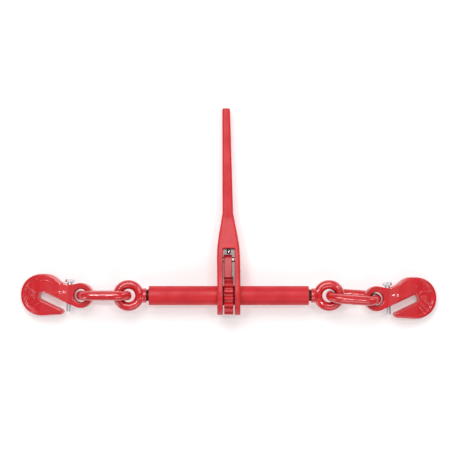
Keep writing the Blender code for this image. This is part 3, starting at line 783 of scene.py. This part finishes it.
PIN_RADIUS, PIN_HALF = 4.0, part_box("pawl_pin")[1].x / MM
DIMPLE_DEPTH, DIMPLE_FLOOR, DIMPLE_RIM = 0.5, 1.6, 2.0
CHAMFER_LENGTH, CHAMFER_RADIUS = 0.8, 3.3
pin_end = [
    (PIN_HALF - DIMPLE_DEPTH, 0),
    (PIN_HALF - DIMPLE_DEPTH, DIMPLE_FLOOR),
    (PIN_HALF, DIMPLE_RIM),
    (PIN_HALF, CHAMFER_RADIUS),
    (PIN_HALF - CHAMFER_LENGTH, PIN_RADIUS),
]
pin_profile = eased(pin_end + [(-x, radius) for x, radius in reversed(pin_end)], 0.25)
pin_mesh = turned(pin_profile, 48, place=Matrix.Translation(JOINTS["pawl_rock"]["pos_m"]))
piece("pawl_pin_turned", pin_mesh, "lever", "pawl_pin", "pin_steel", turned_steel)

along_lever = Vector(press_axis).normalized()
PLUNGER_RADIUS, PLUNGER_LENGTH, PLUNGER_NOSE = 3.0, 20.0, 65.3
GROOVE_DEPTH = 0.35
plunger_profile = [
    (PLUNGER_RADIUS * (1 - cos(radians(a))), PLUNGER_RADIUS * sin(radians(a)))
    for a in range(0, 91, 10)
]
plunger_profile += eased(
    [
        (PLUNGER_RADIUS + 0.1, PLUNGER_RADIUS),
        (9.0, PLUNGER_RADIUS),
        (9.4, PLUNGER_RADIUS - GROOVE_DEPTH),
        (10.4, PLUNGER_RADIUS - GROOVE_DEPTH),
        (10.8, PLUNGER_RADIUS),
        (PLUNGER_LENGTH, PLUNGER_RADIUS),
        (PLUNGER_LENGTH, 0),
    ],
    0.3,
)
plunger_place = line_up(along_lever, along_lever * PLUNGER_NOSE * MM)
plunger_mesh = turned(plunger_profile, 40, place=plunger_place)
piece("plunger_turned", plunger_mesh, "plunger", "detent_plunger", "pin_steel", turned_steel)

# %% [markdown]
# ## Everything that winds: the spring and the threads
#
# A coil spring and a screw thread are the same curve: a helix. One Geometry Nodes tree draws
# the helix and sweeps a round or four-sided section along it. With many sides it is a spring
# wire; with four, the sharp ridge of a thread, whose lower half sinks into the bolt's core.
# The left eye bolt needs the opposite hand, so the tree has an input for that.


# %% Geometry Nodes: a ridge or wire along a helix
def make_winding():
    group, given, out = new_group(
        "winding",
        "GeometryNodeTree",
        [
            ("Geometry", "NodeSocketGeometry", None),
            ("Radius", FLOAT, 0.01),
            ("Lead", FLOAT, 0.005),
            ("Turns", FLOAT, 10.0),
            ("Section", FLOAT, 0.001),
            ("Sides", "NodeSocketInt", 4),
            ("Steps", "NodeSocketInt", 40),
            ("Left Hand", "NodeSocketBool", False),
            ("Material", "NodeSocketMaterial", None),
        ],
        [("Geometry", "NodeSocketGeometry")],
    )
    height = node(
        group,
        "ShaderNodeMath",
        {0: given.outputs["Lead"], 1: given.outputs["Turns"]},
        operation="MULTIPLY",
    )
    # The spiral node winds left-handed unless it is reversed.
    right_hand = node(
        group, "FunctionNodeBooleanMath", {0: given.outputs["Left Hand"]}, operation="NOT"
    )
    helix = node(
        group,
        "GeometryNodeCurveSpiral",
        {
            "Resolution": given.outputs["Steps"],
            "Rotations": given.outputs["Turns"],
            "Start Radius": given.outputs["Radius"],
            "End Radius": given.outputs["Radius"],
            "Height": height.outputs[0],
            "Reverse": right_hand.outputs[0],
        },
    )
    level = node(group, "GeometryNodeSetCurveNormal", {"Curve": helix.outputs[0]}, mode="Z_UP")
    section = node(
        group,
        "GeometryNodeCurvePrimitiveCircle",
        {"Resolution": given.outputs["Sides"], "Radius": given.outputs["Section"]},
    )
    swept = node(
        group,
        "GeometryNodeCurveToMesh",
        {"Curve": level.outputs[0], "Profile Curve": section.outputs[0], "Fill Caps": True},
    )
    real = node(group, "GeometryNodeRealizeInstances", {"Geometry": swept.outputs[0]})
    dress = node(
        group,
        "GeometryNodeSetMaterial",
        {"Geometry": real.outputs[0], "Material": given.outputs["Material"]},
    )
    group.links.new(dress.outputs[0], out.inputs[0])
    return group


winding = make_winding()


def wound(place, **sizes):
    """The mesh of one winding, which starts at the place's origin and runs along its Z."""
    work = holder(bpy.data.meshes.new("winding"))
    use_tree(work, winding, **sizes)
    mesh = baked(work)
    mesh.transform(place)
    return tidy_normals(mesh)


def along_x(start):
    """The place of a winding that runs along X from this many mm."""
    return Matrix.Translation((start * MM, 0, 0)) @ Matrix.Rotation(pi / 2, 4, "Y")


def joined(meshes):
    """One mesh made of several, with their materials' places kept in order."""
    work = bmesh.new()
    for index, mesh in enumerate(meshes):
        start = len(work.faces)
        work.from_mesh(mesh)
        work.faces.ensure_lookup_table()
        for face in work.faces[start:]:
            face.material_index = index
    made = bpy.data.meshes.new("joined")
    work.to_mesh(made)
    work.free()
    return made


# %% The plunger's spring
SPRING_START, SPRING_END, SPRING_TURNS, SPRING_WIRE = 85.9, 105.1, 7, 0.45
SPRING_RADIUS = 2.1
z_along_lever = along_lever.to_track_quat("Z", "X").to_matrix().to_4x4()
spring_mesh = wound(
    Matrix.Translation(along_lever * SPRING_START * MM) @ z_along_lever,
    Radius=SPRING_RADIUS * MM,
    Lead=(SPRING_END - SPRING_START) / SPRING_TURNS * MM,
    Turns=float(SPRING_TURNS),
    Section=SPRING_WIRE * MM,
    Sides=10,
    Steps=28,
    Left_Hand=False,
    Material=spring_wire,
)
spring = piece(
    "plunger_spring", spring_mesh, "lever", "detent_spring", "spring_steel", spring_wire
)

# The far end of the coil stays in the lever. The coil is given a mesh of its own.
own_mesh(spring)

# %% [markdown]
# ## The eye bolts
#
# An eye bolt is a ring forged in one piece with a collar, and a spindle with a coarse thread.
# The ring and the collar are a torus and a turned cone sunk into each other; the forged skin
# blends them with the flowing corner that the die leaves. The spindle is a turned core with
# the thread wound round it, bare and oily, and it comes into view as the binder opens.

# %% Ring, collar and threaded spindle
RING_CENTRE, RING_RADIUS, RING_SECTION = 159.2, 17.6, 7.2
COLLAR_FACE, COLLAR_RADIUS = 130.6, 12.0
THREAD_RADIUS, THREAD_DEPTH, THREAD_LEAD = 10.7, 1.9, 5.0
SPINDLE_END, STUB_END, STUB_RADIUS = 20.0, 10.0, 6.0
CORE_SINK, CORE_EXTRA, THREAD_STOP = 0.4, 0.1, 0.6


def torus(centre, ring, section, around=120, across=32):
    points, faces = [], []
    for i in range(around):
        a = 2 * pi * i / around
        for j in range(across):
            b = 2 * pi * j / across
            reach = ring + section * cos(b)
            points.append((centre + reach * cos(a), reach * sin(a), section * sin(b)))
    for i in range(around):
        for j in range(across):
            k, m = (i + 1) % around, (j + 1) % across
            row, following = i * across, k * across
            faces.append((row + j, following + j, following + m, row + m))
    return tidy_normals(mesh_in_mm("torus", points, faces))


def eye_bolt_head():
    neck = RING_CENTRE - RING_RADIUS
    collar = turned(
        eased(
            [
                (COLLAR_FACE, 0),
                (COLLAR_FACE, COLLAR_RADIUS),
                (COLLAR_FACE + 5.5, COLLAR_RADIUS - 0.2),
                (neck + 1.5, RING_SECTION * 0.95),
                (neck + 1.5, 0),
            ],
            1.2,
        ),
        72,
    )
    ring = torus(RING_CENTRE, RING_RADIUS, RING_SECTION)
    return forged_skin(joined([ring, collar]), cell=0.6, rounds=10)


def spindle(left_hand):
    core_radius = THREAD_RADIUS - THREAD_DEPTH
    core = turned(
        eased(
            [
                (COLLAR_FACE + CORE_SINK, 0),
                (COLLAR_FACE + CORE_SINK, core_radius + CORE_EXTRA),
                (SPINDLE_END, core_radius + CORE_EXTRA),
                (SPINDLE_END, STUB_RADIUS),
                (STUB_END, STUB_RADIUS),
                (STUB_END, 0),
            ],
            0.7,
        ),
        64,
    )
    start = SPINDLE_END + THREAD_DEPTH
    length = COLLAR_FACE - THREAD_STOP - THREAD_DEPTH - start
    ridge = wound(
        along_x(start),
        Radius=core_radius * MM,
        Lead=THREAD_LEAD * MM,
        Turns=length / THREAD_LEAD,
        Section=THREAD_DEPTH * MM,
        Sides=4,
        Steps=44,
        Left_Hand=left_hand,
        Material=oiled_steel_and_slot_shade,
    )
    return joined([core, ridge])


for side, sign in SIDES.items():
    turn = Matrix.Rotation(pi if sign < 0 else 0, 4, "Z")
    head = eye_bolt_head()
    head.transform(turn)
    piece(
        f"{side}_eye_ring",
        head,
        f"{side}_bolt",
        f"{side}_eye_bolt",
        "red_paint",
        link_red,
        crease=60,
    )
    thread = spindle(left_hand=sign < 0)
    thread.transform(turn)
    # Core and ridge are two parts of one mesh, so the finish is given twice.
    piece(
        f"{side}_spindle_thread",
        thread,
        f"{side}_bolt",
        None,
        "plain_steel",
        oiled_steel_and_slot_shade,
        oiled_steel_and_slot_shade,
        crease=30,
    )

# %% [markdown]
# ## The chain links
#
# A long link is one round bar bent into an oval and welded shut. Geometry Nodes sweeps the
# bar's round section along the oval. The path comes from the frame: the link's own pivot
# stands at the middle of its inner bend, and the bends are a known distance apart. The weld
# on one leg is a low swelling, added to the swept mesh.


# %% Geometry Nodes: a round bar along a path
def make_bent_bar():
    group, given, out = new_group(
        "bent_bar",
        "GeometryNodeTree",
        [
            ("Geometry", "NodeSocketGeometry", None),
            ("Bar Radius", FLOAT, 0.0076),
            ("Sides", "NodeSocketInt", 40),
            ("Material", "NodeSocketMaterial", None),
        ],
        [("Geometry", "NodeSocketGeometry")],
    )
    section = node(
        group,
        "GeometryNodeCurvePrimitiveCircle",
        {"Resolution": given.outputs["Sides"], "Radius": given.outputs["Bar Radius"]},
    )
    swept = node(
        group,
        "GeometryNodeCurveToMesh",
        {"Curve": given.outputs["Geometry"], "Profile Curve": section.outputs[0]},
    )
    real = node(group, "GeometryNodeRealizeInstances", {"Geometry": swept.outputs[0]})
    dress = node(
        group,
        "GeometryNodeSetMaterial",
        {"Geometry": real.outputs[0], "Material": given.outputs["Material"]},
    )
    group.links.new(dress.outputs[0], out.inputs[0])
    return group


bent_bar = make_bent_bar()

# %% Bend, weld and place each link
LINK_WIRE, LEG_SPACING, BAR_SPACING = 7.6, 36.6, 74.0
BEND_STEPS, LEG_STEPS = 48, 16
WELD_SWELL, WELD_REACH = 0.045, 2.4


def link_matrix(side):
    """At rest: origin at the middle of the inner bend, x along the link, y its hinge."""
    swing = JOINTS[f"{side}_link_swing"]
    hook = Vector(JOINTS[f"{side}_hook_swing"]["pos_m"])
    y = Vector(swing["axis"]).normalized()
    origin = Vector(swing["pos_m"])
    points = np.array([v.co for v in frame["nodes"][f"{side}_link"].data.vertices])
    middle = Vector((points.min(0) + points.max(0)) / 2)
    x = middle - origin
    x = (x - y * x.dot(y)).normalized()
    z = x.cross(y)
    print(side, "link to hook's eye in mm:", round((hook - origin).length / MM, 1))
    return standing(origin, x, y, z)


def link_mesh():
    curve = bpy.data.curves.new("link_path", "CURVE")
    curve.dimensions = "3D"
    line = curve.splines.new("POLY")
    half, far, path = LEG_SPACING / 2, BAR_SPACING - LEG_SPACING, []
    for centre, start in ((far, -90), (0, 90)):
        for i in range(BEND_STEPS + 1):
            a = radians(start + 180 * i / BEND_STEPS)
            path.append((centre + half * cos(a), 0, half * sin(a)))
        end_x = 0 if centre else far
        leg_z = half if centre else -half
        for i in range(1, LEG_STEPS):
            path.append((centre + (end_x - centre) * i / LEG_STEPS, 0, leg_z))
    line.points.add(len(path) - 1)
    for point, where in zip(line.points, path):
        point.co = (*[v * MM for v in where], 1)
    line.use_cyclic_u = True
    work = holder(curve, "link_path")
    use_tree(work, bent_bar, Bar_Radius=LINK_WIRE * MM, Sides=40, Material=link_red)
    mesh = tidy_normals(baked(work))
    weld_x = far / 2
    for vert in mesh.vertices:
        x, y, z = vert.co / MM
        if z > 0:
            swell = 1 + WELD_SWELL * exp(-(((x - weld_x) / WELD_REACH) ** 2))
            vert.co = Vector((x, y * swell, half + (z - half) * swell)) * MM
    return mesh


for side in SIDES:
    mesh = link_mesh()
    mesh.transform(link_matrix(side))
    piece(
        f"{side}_chain_link",
        mesh,
        f"{side}_link",
        f"{side}_link",
        "red_paint",
        link_red,
        crease=60,
    )

# %% [markdown]
# ## The grab hooks
#
# A grab hook's slot is just wider than one chain link on edge, so the next link can't slip
# through. Its body is a thick web with a raised rim, and low ribs fan out from the slot's end
# to carry the pull. We skin the solid like the other forgings, then raise and lower the skin
# on both faces with a height drawn as a sum of simple shapes: a sunken fan, ribs that fill it
# back up, plain forging pips, and the fine line round the edge where the two dies met.


# %% The hook's own directions
BOLT_TILT = 3.0


def hook_matrix(side):
    """Origin at the eye's centre, x outward along the hook, y towards the lock bolt's head."""
    swing, pull = JOINTS[f"{side}_hook_swing"], JOINTS[f"{side}_lock_bolt_pull"]
    z = Vector(swing["axis"]).normalized() * SIDES[side]
    y = Matrix.Rotation(radians(-BOLT_TILT), 3, z) @ Vector(pull["axis"])
    y = (y - z * y.dot(z)).normalized()
    x = y.cross(z)
    return standing(swing["pos_m"], x, y, z)


# %% Heights on a hook's face
def bump_line(x, y, start, end, width):
    """1 on the line from start to end, falling smoothly to 0 beyond its width."""
    (x0, y0), (x1, y1) = start, end
    dx, dy = x1 - x0, y1 - y0
    t = np.clip(((x - x0) * dx + (y - y0) * dy) / (dx * dx + dy * dy), 0, 1)
    return np.exp(-((x - x0 - t * dx) ** 2 + (y - y0 - t * dy) ** 2) / width**2)


def fade(value, low, high):
    t = np.clip((value - low) / (high - low), 0, 1)
    return t * t * (3 - 2 * t)


BODY_CENTRE, BODY_RADIUS = (64.6, 0.8), 33.2
FAN_DEPTH, RIB_FILL, NECK_DEPTH = 2.3, 0.95, 0.5
RIM_INNER, RIM_OUTER = 8.0, 4.5
PIP_HEIGHT, PIP_RADIUS = 0.45, 0.9
FLASH_HEIGHT, FLASH_REACH, EYE_REACH = 0.28, 0.7, 14
RIBS = {
    "left": [
        ((74.0, 3.5), (88.0, 12.0), 1.2),
        ((77.5, -1.6), (86.5, 3.0), 1.1),
        ((76.0, -5.0), (85.0, -10.0), 1.2),
        ((88.0, -5.5), (93.0, -10.5), 1.1),
        ((67.0, -11.0), (84.0, -14.5), 1.3),
    ],
    "right": [
        ((71.0, 8.6), (91.0, 10.6), 1.6),
        ((74.0, 1.5), (80.0, 0.5), 2.2),
        ((80.3, -2.6), (90.5, -12.0), 1.5),
        ((72.5, -8.0), (86.0, -18.0), 1.4),
        ((69.0, -12.5), (79.0, -22.0), 1.3),
    ],
}
PIPS = {
    "left": [(48 + 3.4 * i, 23.6 - 0.028 * (3.4 * i - 12) ** 2) for i in range(8)],
    "right": [(62 + 3.2 * i, 19.5 - 0.03 * (3.2 * i - 6) ** 2) for i in range(4)],
}


def face_height(side, x, y):
    """Height in mm on the hook's broad faces."""
    reach = np.hypot(x - BODY_CENTRE[0], y - BODY_CENTRE[1])
    inside_rim = 1 - fade(reach, BODY_RADIUS - RIM_INNER, BODY_RADIUS - RIM_OUTER)
    past_slot = fade(x, 64.0, 76.0)
    ribs = np.zeros_like(x)
    for start, end, width in RIBS[side]:
        ribs = np.maximum(ribs, bump_line(x, y, start, end, width))
    height = -FAN_DEPTH * inside_rim * past_slot * (1 - RIB_FILL * ribs)
    for px, py in PIPS[side]:
        height += PIP_HEIGHT * np.exp(-((x - px) ** 2 + (y - py) ** 2) / PIP_RADIUS**2)
    neck = fade(x, 18, 30) * (1 - fade(x, 44, 58)) * fade(y, 2, 8)
    return height - NECK_DEPTH * neck


# %% Skin, sculpt and place each hook
def sculpted_hook(side):
    mesh = forged_skin(solid_copy(f"{side}_hook"), cell=0.62, rounds=8)
    place = hook_matrix(side)
    mesh.transform(place.inverted())
    count = len(mesh.vertices)
    points, normals = np.empty(count * 3), np.empty(count * 3)
    mesh.vertices.foreach_get("co", points)
    mesh.vertices.foreach_get("normal", normals)
    points, normals = points.reshape(-1, 3) / MM, normals.reshape(-1, 3)
    x, y, z = points.T
    facing = np.abs(normals[:, 2])
    lift = face_height(side, x, y) * fade(facing, 0.55, 0.9)
    flash = FLASH_HEIGHT * np.exp(-((z / FLASH_REACH) ** 2))
    lift += flash * (1 - fade(facing, 0.2, 0.5)) * (np.hypot(x, y) > EYE_REACH)
    points += normals * lift[:, None]
    mesh.vertices.foreach_set("co", (points * MM).ravel())
    mesh.update()
    mesh.transform(place)
    return mesh


for side in SIDES:
    piece(
        f"{side}_grab_hook",
        sculpted_hook(side),
        f"{side}_hook_group",
        f"{side}_hook",
        "red_paint",
        forged_red,
        crease=70,
    )

# %% [markdown]
# ## The lock bolts
#
# A hexagon bolt crosses the slot's mouth and keeps the chain in. Its head is a hexagon cut
# from a turned blank, so the corners carry the blank's chamfer as little arcs. We draw the
# head as rings whose radius is the smaller of the hexagon's and the chamfer's at that height,
# and wind a fine thread round the lower end of the shank.

# %% Head, shank and thread
BOLT_RADIUS, BOLT_LENGTH, BOLT_STAND_OFF = 3.95, 47.0, 3.4
HEAD_FLATS, HEAD_HEIGHT, BOLT_PITCH = 13.0, 5.3, 1.25
THREADED, BOLT_THREAD_DEPTH = 24.0, 0.5
HEAD_CORNER, CROWN_START, CROWN_SLOPE = 7.6, 3.7, 0.95
FOOT_HEIGHT, FOOT_SLOPE = 0.5, 1.4


def hex_head(steps=144):
    """Rings of the head along X, from the shank's side to the crown."""
    levels = [0.0, 0.25, 0.5, 1.5, 3.6] + [3.9 + 0.14 * i for i in range(11)]
    points, faces = [], []
    for level in levels:
        x = BOLT_STAND_OFF + min(level, HEAD_HEIGHT)
        crown = max(0.0, level - CROWN_START) * CROWN_SLOPE
        foot = max(0.0, FOOT_HEIGHT - level) * FOOT_SLOPE
        limit = HEAD_CORNER - crown - foot
        for i in range(steps):
            turn = 2 * pi * i / steps
            apart = turn % (pi / 3) - pi / 6
            radius = min(HEAD_FLATS / 2 / cos(apart), limit)
            points.append((x, radius * cos(turn), radius * sin(turn)))
    for row in range(len(levels) - 1):
        for i in range(steps):
            j, start = (i + 1) % steps, row * steps
            faces.append((start + i, start + j, start + steps + j, start + steps + i))
    faces.append(tuple(range(steps)))
    last = (len(levels) - 1) * steps
    faces.append(tuple(range(last, last + steps)))
    return tidy_normals(mesh_in_mm("head", points, faces))


def lock_bolt(side):
    low = BOLT_STAND_OFF - BOLT_LENGTH
    core = BOLT_RADIUS - BOLT_THREAD_DEPTH
    shank = turned(
        eased(
            [
                (BOLT_STAND_OFF + 1, 0),
                (BOLT_STAND_OFF + 1, BOLT_RADIUS),
                (low + THREADED, BOLT_RADIUS),
                (low + THREADED - 0.8, core),
                (low + 0.6, core),
                (low, core - 0.7),
                (low, 0),
            ],
            0.3,
        ),
        48,
    )
    ridge = wound(
        along_x(low + 1.0),
        Radius=core * MM,
        Lead=BOLT_PITCH * MM,
        Turns=(THREADED - 2.0) / BOLT_PITCH,
        Section=BOLT_THREAD_DEPTH * MM,
        Sides=4,
        Steps=32,
        Left_Hand=False,
        Material=zinc,
    )
    mesh = joined([hex_head(), shank, ridge])
    pull = Vector(JOINTS[f"{side}_lock_bolt_pull"]["axis"]).normalized()
    # The head is wider than the shank, so a plain box's middle would lie beside a tilted axis.
    turn = line_up(pull)
    solid = frame["nodes"][f"{side}_lock_bolt"].data.vertices
    points = np.array([turn.inverted() @ v.co for v in solid])
    middle = (points.min(0) + points.max(0)) / 2
    top = points[:, 0].max() - (BOLT_STAND_OFF + HEAD_HEIGHT) * MM
    mesh.transform(turn @ Matrix.Translation((top, middle[1], middle[2])))
    return mesh


for side in SIDES:
    # Head, shank and ridge are three parts of one mesh, so the finish is given three times.
    piece(
        f"{side}_hex_lock_bolt",
        lock_bolt(side),
        f"{side}_lock",
        f"{side}_lock_bolt",
        "zinc_plate",
        zinc,
        zinc,
        zinc,
        crease=30,
    )

# %% [markdown]
# ## The pieces inside
#
# The key, the stop washers and their clips work inside the barrel. Their solids already have
# the right shape, so they keep it and only get their finish.

# %% Finish the hidden pieces
for name, material in (
    ("gear_key", turned_steel),
    ("left_stop_washer", turned_steel),
    ("right_stop_washer", turned_steel),
    ("left_stop_clip", spring_wire),
    ("right_stop_clip", spring_wire),
):
    frame["nodes"][name].material_slots[0].material = material

# %% [markdown]
# ## Floor, light and camera
#
# The binder lies on a white table in even studio light. A large soft lamp stands towards the
# lever's grip and a weaker one opposite, so shadows are short and faint. Two low lamps light
# the bars from the ends, and two small high ones draw bright streaks along them. The floor
# glows a little to stay white. The camera looks straight down from far off.

# %% Floor
FLOOR_GAP, FLOOR_WHITE, FLOOR_ROUGH, FLOOR_GLOW = 0.2, 0.86, 0.9, 0.26
floor_z = cad_low.z - FLOOR_GAP * MM
floor_mesh = bpy.data.meshes.new("floor")
FLOOR_HALF = 6.0
corners = ((-1, -1), (1, -1), (1, 1), (-1, 1))
floor_mesh.from_pydata(
    [(x * FLOOR_HALF, y * FLOOR_HALF, floor_z) for x, y in corners], [], [(0, 1, 2, 3)]
)
floor_paint = bpy.data.materials.new("floor_white")
floor_paint.use_nodes = True
floor_shader = floor_paint.node_tree.nodes["Principled BSDF"]
floor_shader.inputs["Base Color"].default_value = (FLOOR_WHITE, FLOOR_WHITE, FLOOR_WHITE, 1)
floor_shader.inputs["Roughness"].default_value = FLOOR_ROUGH
floor_shader.inputs["Emission Color"].default_value = (1, 1, 1, 1)
floor_shader.inputs["Emission Strength"].default_value = FLOOR_GLOW
floor_mesh.materials.append(floor_paint)
floor = holder(floor_mesh, "floor")


# %% Lamps
def lamp(name, place, target, size, power):
    light = bpy.data.lights.new(name, "AREA")
    light.shape = "RECTANGLE"
    light.size, light.size_y = size
    light.energy = power
    made = bpy.data.objects.new(name, light)
    made.location = place
    aim = Vector(target) - Vector(place)
    made.rotation_euler = aim.to_track_quat("-Z", "Y").to_euler()
    bpy.context.scene.collection.objects.link(made)
    return made


CENTRE = (0.0, 0.05, 0.0)
lamp("key_lamp", (-0.3, 1.3, 2.0), CENTRE, (1.6, 1.2), 31)
lamp("fill_lamp", (0.5, -1.4, 1.6), CENTRE, (1.4, 1.0), 11)
lamp("right_low_lamp", (1.7, 1.5, 0.9), CENTRE, (0.6, 0.6), 8)
lamp("left_low_lamp", (-1.7, -1.2, 0.9), CENTRE, (0.6, 0.6), 8)
for name, sign in (("left_streak", -1), ("right_streak", 1)):
    lamp(name, (sign * 0.88, 0.5, 3.0), (sign * 0.2, 0.0, 0.0), (0.25, 0.3), 9.5)

WORLD_STRENGTH = 0.22
world = bpy.data.worlds.new("studio")
world.use_nodes = True
background = world.node_tree.nodes["Background"]
background.inputs["Color"].default_value = (1, 1, 1, 1)
background.inputs["Strength"].default_value = WORLD_STRENGTH
bpy.context.scene.world = world
bpy.context.scene.view_settings.view_transform = "Standard"

# %% Camera
VIEW_WIDTH = 0.7144
CAMERA_HEIGHT = 4.0
SENSOR_WIDTH = 36.0
camera_data = bpy.data.cameras.new("camera")
camera_data.sensor_width = SENSOR_WIDTH
camera_data.lens = SENSOR_WIDTH * CAMERA_HEIGHT / VIEW_WIDTH
camera_data.clip_end = 50.0
camera = holder(camera_data, "camera")
camera.location = (-0.006, 0.112, CAMERA_HEIGHT)
bpy.context.scene.camera = camera
